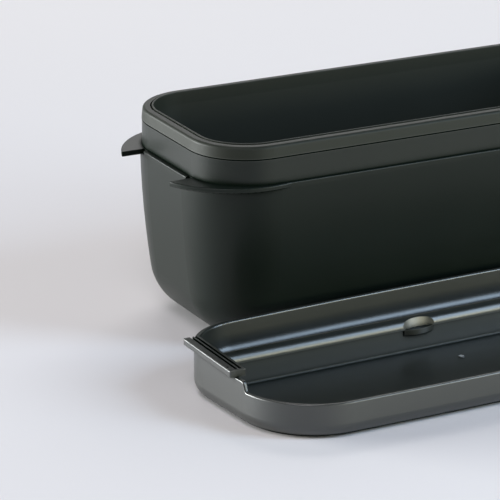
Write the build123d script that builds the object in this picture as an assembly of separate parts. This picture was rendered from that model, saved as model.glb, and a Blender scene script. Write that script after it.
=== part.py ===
"""A slim one-tier bento box: outer box, nested food tub, and the tray lid that lies in front.

Lengths are in millimetres. The origin is the middle of the outer box's base, on the table.
X runs along the box, +Y points to its back and Z is up.
"""
import os
from math import atan2, cos, degrees, hypot, radians, sin

from build123d import *

os.makedirs("parts", exist_ok=True)

# Sizes that drive the box: its plain upper band, and its height up to the rim.
LENGTH = 176.0
WIDTH = 70.0
HEIGHT = 69.1
BAND_CORNER = 19.7
RIM_HEIGHT = 4.0
STEP_BELOW_RIM = 12.6

# The wall under the band stands further out, more at the ends than along the sides.
STEP_AT_END = 1.8
STEP_AT_SIDE = 1.0
BODY_CORNER = 23.8

# Plastic thickness, and the air between two nested pieces.
WALL = 1.6
BAND_WALL = 1.5
TUB_WALL = 1.25
GAP = 0.3


def outline(length, width, corner):
    """A rounded rectangle whose path starts in the middle of the front side."""
    end, side = length / 2, width / 2
    front = Line((0, -side), (end - corner, -side))
    front_corner = RadiusArc((end - corner, -side), (end, corner - side), -corner)
    right = Line((end, corner - side), (end, side - corner))
    back_corner = RadiusArc((end, side - corner), (end - corner, side), -corner)
    back = Line((end - corner, side), (0, side))
    half = Curve() + [front, front_corner, right, back_corner, back]
    return Wire((half + mirror(half, about=Plane.YZ)).edges())


def ring(section, length, width, corner):
    """Sweep a wall section, drawn as (distance inward, height), once round an outline."""
    across = Plane(origin=(0, -width / 2, 0), x_dir=(0, 1, 0), z_dir=(1, 0, 0))
    return sweep(across * section, path=outline(length, width, corner))


def plate(length, width, corner, bottom, top):
    """A flat plate with rounded corners."""
    return extrude(Pos(0, 0, bottom) * RectangleRounded(length, width, corner), top - bottom)


def vessel(length, width, corner, top, lean, knee, foot, wall):
    """A thin hull whose wall bows in to a knee, then rounds under to a flat floor.

    top and knee are (distance inward, height) on the outer face, lean is the wall's angle at
    its top edge, and foot is the height of the flat underside.
    """
    chord = degrees(atan2(knee[0] - top[0], top[1] - knee[1]))
    knee_lean = radians(2 * chord - lean)
    base_radius = (knee[1] - foot) / (1 - sin(knee_lean))
    floor_start = knee[0] + base_radius * cos(knee_lean)
    down_wall = (sin(radians(lean)), -cos(radians(lean)))
    down_knee = (sin(knee_lean), -cos(knee_lean))
    inner_top = (top[0] + wall, top[1])
    inner_knee = (knee[0] + wall * cos(knee_lean), knee[1] + wall * sin(knee_lean))
    outer_floor = (floor_start, foot)
    inner_floor = (floor_start, foot + wall)
    edges = [
        TangentArc(top, knee, tangent=down_wall),
        TangentArc(knee, outer_floor, tangent=down_knee),
        Line(outer_floor, inner_floor),
        TangentArc(inner_knee, inner_floor, tangent=down_knee),
        TangentArc(inner_top, inner_knee, tangent=down_wall),
        Line(inner_top, top),
    ]
    section = make_face(Curve() + edges)
    floor_length, floor_width = length - 2 * floor_start, width - 2 * floor_start
    floor = plate(floor_length, floor_width, corner - floor_start, foot, foot + wall)
    return ring(section, length, width, corner) + floor


def round_corners(face, rounds):
    """Round a drawn face at some of its corners; rounds pairs each point with a radius."""
    for (x, y), radius in rounds:
        corner = face.vertices().sort_by(lambda v: hypot(v.X - x, v.Y - y))[0]
        face = fillet(corner, radius)
    return face


# Outer box: hull, step with its four wings, and upper band.
seat = HEIGHT - RIM_HEIGHT
step_top = HEIGHT - STEP_BELOW_RIM
step_thickness = 1.7
step_foot_height = step_top - step_thickness
body_length = LENGTH + 2 * STEP_AT_END
body_width = WIDTH + 2 * STEP_AT_SIDE
hull = vessel(body_length, body_width, BODY_CORNER, top=(0, step_foot_height), lean=1.2,
              knee=(3.1, 15.7), foot=0, wall=WALL)

# Each wing is part of a disc, cut off square so that a lid's end clip fits between two of them.
wing_radius = 28.4
wing_from_end = 18.5
wing_from_middle = 8.4
clip_gap = 35.0
step_reach, step_round = 3.5, 0.4
step_section = make_face(Polyline(
    (0, step_foot_height), (step_reach, step_foot_height), (step_reach, step_top), (0, step_top), close=True))
step_section = round_corners(step_section, [((0, step_top), step_round)])
step = ring(step_section, body_length, body_width, BODY_CORNER)
for end in (-1, 1):
    for side in (-1, 1):
        disc = Pos(end * (LENGTH / 2 - wing_from_end), side * wing_from_middle) * Circle(wing_radius)
        keep = Pos(end * LENGTH / 2, side * (clip_gap / 2 + WIDTH / 2)) * Rectangle(LENGTH, WIDTH)
        wing = extrude(Pos(0, 0, step_foot_height) * (disc & keep), step_thickness)
        step += fillet(wing.edges().filter_by(GeomType.CIRCLE), step_round)
step -= plate(LENGTH - 2 * BAND_WALL, WIDTH - 2 * BAND_WALL, BAND_CORNER - BAND_WALL, 0, HEIGHT)

# Where a wing's square end meets the step, the mould leaves a small dark notch.
notch_width, notch_depth, notch_height = 2.4, 1.5, 1.4
for end in (-1, 1):
    for side in (-1, 1):
        centre = Pos(end * (LENGTH / 2 + STEP_AT_END), side * (clip_gap - notch_width) / 2, step_top)
        step -= centre * Box(2 * notch_depth, notch_width, 2 * notch_height)

# The band's top edge is set back, which leaves a thin shadow line under the food tub's rim.
shadow_height, shadow_depth = 0.45, 0.6
band_section = make_face(Polyline(
    (0, step_foot_height), (BAND_WALL, step_foot_height), (BAND_WALL, seat), (shadow_depth, seat),
    (shadow_depth, seat - shadow_height), (0, seat - shadow_height), close=True))
band = ring(band_section, LENGTH, WIDTH, BAND_CORNER)
outer_tub = hull + step + band
outer_tub.label = "outer_tub"

# Food tub: its rim rests on the band's edge and the hull hangs free inside the outer box.
# The rim's face flares out a little to its foot, and a groove parts its top from a thin inner lip.
rim_length, rim_width, rim_corner = LENGTH - 2 * GAP, WIDTH - 2 * GAP, BAND_CORNER - GAP
wall_start = 2.3
inside_face = wall_start + TUB_WALL
rim_flare, edge_round, lip_width, lip_rise, lip_round = 0.4, 1.1, 0.65, 0.3, 0.25
groove_width, groove_depth = 0.5, 1.2
lip_start = inside_face - lip_width
groove_start = lip_start - groove_width
lip_top = HEIGHT + lip_rise
rim_section = make_face(Polyline(
    (-rim_flare, seat), (0, HEIGHT), (groove_start, HEIGHT), (groove_start, HEIGHT - groove_depth),
    (lip_start, HEIGHT - groove_depth), (lip_start, lip_top), (inside_face, lip_top),
    (inside_face, seat), close=True))
rim_section = round_corners(rim_section, [
    ((0, HEIGHT), edge_round), ((lip_start, lip_top), lip_round), ((inside_face, lip_top), lip_round)])
rim = ring(rim_section, rim_length, rim_width, rim_corner)
tub_hull = vessel(rim_length, rim_width, rim_corner, top=(wall_start, seat), lean=2.2,
                  knee=(5.7, 16.5), foot=4.2, wall=TUB_WALL)
inner_tub = rim + tub_hull
inner_tub.label = "inner_tub"

# Tray lid, drawn about its own middle. Its long sides bow out, and its ends run in to the front.
TRAY_WIDTH = 69.2
SIDE_BOW = 1.5
END_AT_FRONT = 2.1
END_AT_MIDDLE = 0.6
FRONT_CORNER = 25.6
BACK_CORNER = 19.4
FRONT_RIM = 11.6
BACK_RIM = 16.8
TRAY_WALL = 1.4
TRAY_FLOOR = 2.0


def tray_outline(inset):
    """The tray's bowed outline, moved inward all round."""
    end, side = LENGTH / 2 - inset, TRAY_WIDTH / 2 - inset
    corner_y = side - SIDE_BOW
    front_x, middle_x = end - END_AT_FRONT, end - END_AT_MIDDLE
    edges = [
        ThreePointArc((-front_x, -corner_y), (0, -side), (front_x, -corner_y)),
        ThreePointArc((front_x, -corner_y), (middle_x, 0), (end, corner_y)),
        ThreePointArc((end, corner_y), (0, side), (-end, corner_y)),
        ThreePointArc((-end, corner_y), (-middle_x, 0), (-front_x, -corner_y)),
    ]
    sketch = make_face(Curve() + edges)
    sketch = fillet(sketch.vertices().group_by(Axis.Y)[0], FRONT_CORNER - inset)
    back_points = sketch.vertices().filter_by(lambda v: v.Y > corner_y - 0.01)
    return fillet(back_points, BACK_CORNER)


def tray_block(inset, bottom, top, bottom_round):
    """The outline drawn up to a height, with its lower edge rounded."""
    block = extrude(Pos(0, 0, bottom) * tray_outline(inset), top - bottom)
    return fillet(block.faces().sort_by(Axis.Z)[0].edges(), bottom_round)


def along(points, rounds=()):
    """A solid the length of the tray from a (y, z) polygon; rounds pairs corner numbers with radii."""
    profile = make_face(Polyline(*points, close=True))
    profile = round_corners(profile, [(points[number], radius) for number, radius in rounds])
    across = Plane(origin=(-LENGTH, 0, 0), x_dir=(0, 1, 0), z_dir=(1, 0, 0))
    return extrude(across * profile, 2 * LENGTH)


foot_round = 4.8
over = BACK_RIM + 5
tray = tray_block(0, 0, BACK_RIM, foot_round)

# The rim is low round the front and steps up to the high back half.
step_foot, step_head, bar_bottom, bar_front = -11.5, -10.2, 14.7, -5.9
step_foot_round, step_head_round = 0.8, 1.2
low_front = along(
    [(-WIDTH, FRONT_RIM), (step_foot, FRONT_RIM), (step_head, bar_bottom), (bar_front, bar_bottom),
     (bar_front, over), (-WIDTH, over)],
    rounds=[(1, step_foot_round), (2, step_head_round)],
)
tray -= low_front

# Inside, a flat compartment lies in front of the ridge and a chopstick channel behind it.
ridge_front, ridge_back, ridge_crest, ridge_foot = 15.6, 20.9, 12.8, 9.7
ridge_lip, ridge_round = 0.5, 2.8
channel_floor, channel_round = 6.5, 3.1
front_floor_round, back_floor_round = 0.8, 1.5
room = along(
    [(-WIDTH, TRAY_FLOOR), (ridge_front, TRAY_FLOOR), (ridge_front, ridge_foot),
     (ridge_front - ridge_lip, ridge_foot), (ridge_front - ridge_lip, ridge_crest), (ridge_back, ridge_crest),
     (ridge_back, channel_floor), (WIDTH, channel_floor), (WIDTH, over), (-WIDTH, over)],
    rounds=[(1, front_floor_round), (4, ridge_round), (5, ridge_round), (6, back_floor_round)],
)
compartment = tray_block(TRAY_WALL, TRAY_FLOOR, over, foot_round - TRAY_WALL)
channel = tray_block(TRAY_WALL, channel_floor, over, channel_round)
crest = (ridge_front - ridge_lip + ridge_back) / 2
before_crest = along([(-WIDTH, 0), (crest, 0), (crest, over), (-WIDTH, over)])
behind_crest = along([(crest, 0), (WIDTH, 0), (WIDTH, over), (crest, over)])
tray -= (compartment & room & before_crest) + (channel & room & behind_crest)

# Both rims are softly rounded, the high one only on the inside.
rim_round = 0.5
low_rim = tray.edges().filter_by(lambda e: e.bounding_box().max.Z < FRONT_RIM + 0.01).group_by(Axis.Z)[-1]
tray = fillet(low_rim.filter_by(lambda e: e.center().Y < step_foot), rim_round)
high_rim = tray.edges().group_by(Axis.Z)[-1].filter_by(
    lambda e: e.bounding_box().max.Y < TRAY_WIDTH / 2 - TRAY_WALL / 2)
tray = fillet(high_rim, rim_round)

# Finger recess: a shallow scoop in the ridge's front face, and a low pad that bulges out under it.
# Both are arcs over the same width, so each radius follows from how deep its arc is.
recess_x, recess_width = 79.2 - LENGTH / 2, 10.6
scoop_depth, scoop_draft, pad_bulge = 1.1, 0.8, 1.2
pad_top, pad_thickness, pad_round = ridge_foot + 0.1, 2.4, 0.8
scoop_radius = ((recess_width / 2) ** 2 + scoop_depth ** 2) / (2 * scoop_depth)
pad_radius = ((recess_width / 2) ** 2 + pad_bulge ** 2) / (2 * pad_bulge)
ridge_face = ridge_front - ridge_lip
pad_disc = Pos(recess_x, ridge_face - pad_bulge + pad_radius) * Circle(pad_radius)
pad_width = Pos(recess_x, ridge_front) * Rectangle(recess_width, 2 * ridge_round)
pad = extrude(Pos(0, 0, pad_top - pad_thickness) * (pad_disc & pad_width), pad_thickness)
pad = fillet(pad.edges().filter_by(GeomType.CIRCLE).group_by(Axis.Z)[0], pad_round)
upward = (Align.CENTER, Align.CENTER, Align.MIN)
scoop = Cone(scoop_radius, scoop_radius + scoop_draft, ridge_crest - pad_top, align=upward)
tray = tray + pad - Pos(recess_x, ridge_face + scoop_depth - scoop_radius, pad_top) * scoop

# Underneath, the ridge and channel are hollow, but for solid plastic under the pad.
hollow_front = ridge_front + TRAY_WALL
hollow_back = ridge_back - TRAY_WALL
hollow_round = 1.0
below = 1.0
hollow = along(
    [(hollow_front, -below), (hollow_front, ridge_crest - TRAY_WALL), (hollow_back, ridge_crest - TRAY_WALL),
     (hollow_back, channel_floor - TRAY_WALL), (WIDTH, channel_floor - TRAY_WALL), (WIDTH, -below)],
    rounds=[(1, hollow_round), (2, hollow_round)],
)
solid_width = recess_width + 2 * TRAY_WALL
solid_room = Box(solid_width, 2 * ridge_back, over, align=upward)
hollow -= Pos(recess_x, 0, pad_top - pad_thickness) * solid_room
tray -= hollow & extrude(Pos(0, 0, -below) * tray_outline(foot_round), BACK_RIM)

# A grooved bar lies across the high half of each end, a little askew, and stands out past the wall.
bar_width, bar_back, bar_top = 5.6, 26.2, 16.9
bar_overhang, bar_turn = 0.35, 2.4
bar_length = bar_back - bar_front
bar_round = 0.4
bar_groove_width, bar_groove_depth, groove_from_front = 0.95, 0.9, 1.0
bar_grooves = (2.7, 4.1)
dimple_from_front, dimple_from_side, dimple_radius, dimple_depth = 3.6, 1.0, 0.45, 0.5
bar = Pos(bar_width / 2, 0, (bar_bottom + bar_top) / 2) * Box(bar_width, bar_length, bar_top - bar_bottom)
bar = fillet(bar.edges().filter_by(Axis.Y) + bar.edges().filter_by(Axis.Z), bar_round)
for groove_x in bar_grooves:
    bar -= Pos(groove_x, groove_from_front, bar_top) * Box(bar_groove_width, bar_length, 2 * bar_groove_depth)
dimple = Cylinder(dimple_radius, 2 * dimple_depth)
bar -= Pos(dimple_from_side, dimple_from_front - bar_length / 2, bar_top) * dimple
bar_place = Pos(-LENGTH / 2 - bar_overhang, (bar_front + bar_back) / 2) * Rot(0, 0, -bar_turn)
left_bar = bar_place * bar
left_room = bar_place * Pos(bar_width / 2, 0, bar_bottom + over / 2) * Box(bar_width, bar_length, over)
for side_bar, side_room in ((left_bar, left_room), (mirror(left_bar, Plane.YZ), mirror(left_room, Plane.YZ))):
    tray = tray - side_room + side_bar

# The spot where the plastic entered the mould.
gate_y, gate_radius, gate_height = 3.6, 0.9, 0.35
tray += Pos(0, gate_y, TRAY_FLOOR) * Cylinder(gate_radius, 2 * gate_height)

# The tray lies in front of the box, turned a little.
tray_x, tray_y, tray_turn = -19.72, -73.9, 2.0
tray_lid = Pos(tray_x, tray_y, 0) * Rot(0, 0, tray_turn) * tray
tray_lid.label = "tray_lid"

for piece in (outer_tub, inner_tub, tray_lid):
    export_step(piece, f"parts/{piece.label}.step")
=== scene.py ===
"""A slim dark bento box, open on a pale table: outer box, food tub, and the tray lid in front.

Lengths are in metres. The origin is the middle of the outer box's base, X runs along the box,
+Y points to its back and Z is up.
"""
import math

import bmesh
import bpy
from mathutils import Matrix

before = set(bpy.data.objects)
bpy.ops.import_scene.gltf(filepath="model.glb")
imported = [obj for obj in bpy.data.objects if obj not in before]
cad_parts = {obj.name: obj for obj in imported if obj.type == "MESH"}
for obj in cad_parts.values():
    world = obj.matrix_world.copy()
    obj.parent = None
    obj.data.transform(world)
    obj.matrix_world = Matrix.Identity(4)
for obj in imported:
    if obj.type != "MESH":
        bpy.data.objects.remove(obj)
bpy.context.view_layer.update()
scene = bpy.context.scene
scene.view_settings.view_transform = "Standard"

# Camera: a long lens a little over a metre from the box, at its front left. It looks 19 degrees
# down, and the right ends of the box and of the tray lid leave the picture.
camera_place = (-0.55518, -0.96026, 0.39475)
camera_down, camera_right = 19.008, 27.336
camera = bpy.data.objects.new("camera", bpy.data.cameras.new("camera"))
camera.data.sensor_width = 36.0
camera.data.lens = 252.0
camera.data.clip_start = 0.05
camera.data.clip_end = 20.0
camera.location = camera_place
camera.rotation_euler = (math.radians(90 - camera_down), 0, math.radians(-camera_right))
scene.collection.objects.link(camera)
scene.camera = camera

# Table: one large sheet of matt pale card that the pieces stand on. It runs far out on all sides,
# so that the low sides of the plastic reflect it.
table_reach = 4.0
table_form = bmesh.new()
bmesh.ops.create_grid(table_form, x_segments=1, y_segments=1, size=table_reach)
table_mesh = bpy.data.meshes.new("table")
table_form.to_mesh(table_mesh)
table_form.free()
table = bpy.data.objects.new("table", table_mesh)
scene.collection.objects.link(table)
card = bpy.data.materials.new("card")
card.use_nodes = True
card_shader = card.node_tree.nodes["Principled BSDF"]
card_shader.inputs["Base Color"].default_value = (0.79, 0.765, 0.775, 1)
card_shader.inputs["Roughness"].default_value = 0.9
card_shader.inputs["Specular IOR Level"].default_value = 0.1
table_mesh.materials.append(card)


# Room: a pale wall behind the table, which the level faces of the plastic reflect, and dim walls
# and ceiling elsewhere. The rest of the light comes from the lamps. A direction's rise is 0 when
# it is level and 1 straight up, and its depth is 1 straight to the back.
def add_node(tree, kind, sockets=None, **settings):
    """Add a shader node. A value that is another node's socket is linked, any other is set."""
    node = tree.nodes.new("ShaderNode" + kind)
    for setting, choice in settings.items():
        setattr(node, setting, choice)
    for socket, value in (sockets or {}).items():
        if isinstance(value, bpy.types.NodeSocket):
            tree.links.new(value, node.inputs[socket])
        else:
            node.inputs[socket].default_value = value
    return node


def ramp(tree, value, start, end, low, high, **settings):
    """Turn a value that runs from start to end into one from low to high, held past the ends."""
    ends = {"From Min": start, "From Max": end, "To Min": low, "To Max": high}
    return add_node(tree, "MapRange", {"Value": value, **ends}, **settings).outputs["Result"]


def product(tree, first, second, **settings):
    """Multiply two values."""
    node = add_node(tree, "Math", {0: first, 1: second}, operation="MULTIPLY", **settings)
    return node.outputs["Value"]


wall_rise, ceiling_rise = 0.2, 0.5
wall_light, ceiling_light = 0.5, 0.04
front_depth, back_depth = -0.2, 0.5
front_share, back_share = 0.1, 1.0
room = bpy.data.worlds.new("room")
scene.world = room
room.use_nodes = True
room_tree = room.node_tree
room_light = room_tree.nodes["Background"]
room_light.inputs["Color"].default_value = (0.95, 0.97, 1.0, 1)
way = add_node(room_tree, "TexCoord")
split = add_node(room_tree, "SeparateXYZ", {"Vector": way.outputs["Generated"]})
wall = ramp(
    room_tree, split.outputs["Z"], wall_rise, ceiling_rise, wall_light, ceiling_light,
    interpolation_type="SMOOTHSTEP")
behind = ramp(
    room_tree, split.outputs["Y"], front_depth, back_depth, front_share, back_share,
    interpolation_type="SMOOTHSTEP")
room_tree.links.new(product(room_tree, wall, behind), room_light.inputs["Strength"])

# Lamps: soft panels round the table, all aimed at the box. A direction is given as degrees round
# from the front toward the right end, and degrees above the table. A tall bluish window stands
# at the front right, and a low panel at the back left lights the left ends of the pieces.
for name, around, above, distance, width, height, power, colour in (
    ("left_panel", 237, 6, 2.0, 1.38, 0.46, 90.0, (0.97, 1.0, 0.99)),
    ("window", 43, 28, 1.3, 0.45, 0.9, 12.2, (0.62, 0.8, 1.0)),
    ("front_strip", 30, 7, 1.3, 1.2, 0.3, 7.6, (1.0, 0.98, 0.72)),
    ("front_panel", 315, 52, 1.3, 0.6, 0.6, 5.2, (0.98, 0.95, 1.0)),
    ("back_panel", 150, 40, 1.3, 1.0, 0.6, 7.4, (1.0, 0.99, 0.98)),
):
    lamp = bpy.data.objects.new(name, bpy.data.lights.new(name, "AREA"))
    lamp.data.shape = "RECTANGLE"
    lamp.data.size = width
    lamp.data.size_y = height
    lamp.data.energy = power
    lamp.data.color = colour
    turn, rise = math.radians(around), math.radians(above)
    out = distance * math.cos(rise)
    lamp.location = (out * math.sin(turn), -out * math.cos(turn), distance * math.sin(rise))
    lamp.rotation_euler = (math.pi / 2 - rise, 0, turn)
    scene.collection.objects.link(lamp)

# Outer box: one moulding in black-green polypropylene, with a fine spark-eroded grain that the
# mould gave it and a glossier band round its top. It stands on the table and carries the food
# tub on its top edge.
patches_per_metre = 28.0
colour_drift, roughness_drift = 0.1, 0.03
pits_per_metre = 2500.0
pit_depth = 0.00005
# Painted shade in grooves: how far to look for a hollow, and where the gloss is fully lowered or
# fully kept.
groove_reach = 0.002
groove_openness, face_openness = 0.6, 0.95
# Painted edge highlight: the convex edges found within this radius are mixed toward a lighter grey.
edge_radius = 0.0006
flat_bend, highlit_bend = 0.998, 0.93
edge_highlight_grey = (0.16, 0.17, 0.16, 1)


def moulded_plastic(name, colour, roughness, gloss, grain, highlight_strength):
    """Dark moulded plastic: a fine grain, gloss and colour that drift, painted edge highlights,
    painted groove shade.
    """
    material = bpy.data.materials.new(name)
    material.use_nodes = True
    tree = material.node_tree
    place = add_node(tree, "TexCoord").outputs["Object"]
    patches = add_node(
        tree, "TexNoise", {"Vector": place, "Scale": patches_per_metre, "Detail": 3.0})
    drift = patches.outputs["Fac"]
    shade = add_node(tree, "Mix", {
        "Factor": drift,
        "A": (*((1 - colour_drift) * c for c in colour), 1),
        "B": (*((1 + colour_drift) * c for c in colour), 1),
    }, data_type="RGBA")
    # Painted shade: ambient occlusion lowers the gloss in grooves and hollows, so that they render
    # darker.
    hollow = add_node(tree, "AmbientOcclusion", {"Distance": groove_reach}, samples=8)
    open_face = ramp(tree, hollow.outputs["AO"], groove_openness, face_openness, 0.0, 1.0)
    shine = product(tree, open_face, gloss, name="shine")
    # The softened normal turns away from the true one beside an edge, so bend is below 1 there.
    softened = add_node(tree, "Bevel", {"Radius": edge_radius}, samples=8)
    surface = add_node(tree, "NewGeometry")
    bend = add_node(
        tree, "VectorMath", {0: softened.outputs["Normal"], 1: surface.outputs["Normal"]},
        operation="DOT_PRODUCT")
    # Painted highlight: along convex edges outside the grooves, the colour turns toward a lighter
    # grey.
    edge = ramp(tree, bend.outputs["Value"], flat_bend, highlit_bend, 0.0, highlight_strength)
    edge_highlight = product(tree, edge, open_face)
    body = add_node(tree, "Mix", {
        "Factor": edge_highlight,
        "A": shade.outputs["Result"],
        "B": edge_highlight_grey,
    }, data_type="RGBA", name="body")
    dullness = ramp(tree, drift, 0.0, 1.0, roughness - roughness_drift, roughness + roughness_drift)
    pits = add_node(tree, "TexNoise", {"Vector": place, "Scale": pits_per_metre, "Detail": 2.0})
    bump = add_node(tree, "Bump", {
        "Strength": grain,
        "Distance": pit_depth,
        "Height": pits.outputs["Fac"],
    })
    for socket, value in (
        ("Base Color", body.outputs["Result"]),
        ("Specular IOR Level", shine),
        ("Roughness", dullness),
        ("Normal", bump.outputs["Normal"]),
    ):
        tree.links.new(value, tree.nodes["Principled BSDF"].inputs[socket])
    return material


def height_in(tree):
    """The height of each point of a piece at rest."""
    place = tree.nodes["Texture Coordinate"]
    return add_node(tree, "SeparateXYZ", {"Vector": place.outputs["Object"]}).outputs["Z"]


def dress(piece, plastic):
    """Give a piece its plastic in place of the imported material."""
    piece.data.materials.clear()
    piece.data.materials.append(plastic)


box_gloss, band_gloss = 0.25, 0.36
polish_start, polish_full = 0.0566, 0.0570
outer_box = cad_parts["outer_tub"]
outer_plastic = moulded_plastic(
    "outer_plastic", colour=(0.005, 0.0085, 0.006), roughness=0.38, gloss=box_gloss, grain=0.2,
    highlight_strength=0.1)
outer_tree = outer_plastic.node_tree
band_polish = ramp(
    outer_tree, height_in(outer_tree), polish_start, polish_full, box_gloss, band_gloss)
outer_tree.links.new(band_polish, outer_tree.nodes["shine"].inputs[1])
dress(outer_box, outer_plastic)

# Food tub: a thinner moulding in the same plastic, a little paler and more matt. It hangs in the
# outer box by its rim and lifts straight out.
food_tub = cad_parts["inner_tub"]
inner_plastic = moulded_plastic(
    "inner_plastic", colour=(0.019, 0.022, 0.017), roughness=0.5, gloss=0.2, grain=0.2, highlight_strength=0.12)
dress(food_tub, inner_plastic)

# Tray lid: one moulding in the same plastic with polished faces and a matt compartment floor. It lies
# loose on the table. The gate in the floor, where the sprue was torn, is given a small pale spot.
tray_gloss, floor_gloss = 1.0, 0.35
least_upward = 0.3
floor_top = 0.004
gate_place = (-0.0198, -0.0703, 0.0022)
gate_radius = 0.0011
gate_core = 0.6 * gate_radius
gate_spot_grey = (0.35, 0.36, 0.35, 1)
tray_plastic = moulded_plastic(
    "tray_plastic", colour=(0.006, 0.0085, 0.0065), roughness=0.38, gloss=tray_gloss, grain=0.05,
    highlight_strength=0.2)
tray_tree = tray_plastic.node_tree
tray_shader = tray_tree.nodes["Principled BSDF"]
tray_shader.inputs["IOR"].default_value = 1.56
tray_place = tray_tree.nodes["Texture Coordinate"]
facing = add_node(tray_tree, "SeparateXYZ", {"Vector": tray_place.outputs["Normal"]})
level_face = add_node(
    tray_tree, "Math", {0: facing.outputs["Z"], 1: least_upward}, operation="GREATER_THAN")
low_face = add_node(
    tray_tree, "Math", {0: height_in(tray_tree), 1: floor_top}, operation="LESS_THAN")
tray_floor = product(tray_tree, level_face.outputs["Value"], low_face.outputs["Value"])
tray_polish = ramp(tray_tree, tray_floor, 0.0, 1.0, tray_gloss, floor_gloss)
tray_tree.links.new(tray_polish, tray_tree.nodes["shine"].inputs[1])
# A small pale spot is mixed into the colour around the gate.
from_gate = add_node(
    tray_tree, "VectorMath", {0: tray_place.outputs["Object"], 1: gate_place},
    operation="DISTANCE")
gate = ramp(tray_tree, from_gate.outputs["Value"], gate_radius, gate_core, 0.0, 1.0)
tray_colour = add_node(tray_tree, "Mix", {
    "Factor": gate,
    "A": tray_tree.nodes["body"].outputs["Result"],
    "B": gate_spot_grey,
}, data_type="RGBA")
tray_tree.links.new(tray_colour.outputs["Result"], tray_shader.inputs["Base Color"])
tray_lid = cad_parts["tray_lid"]
dress(tray_lid, tray_plastic)
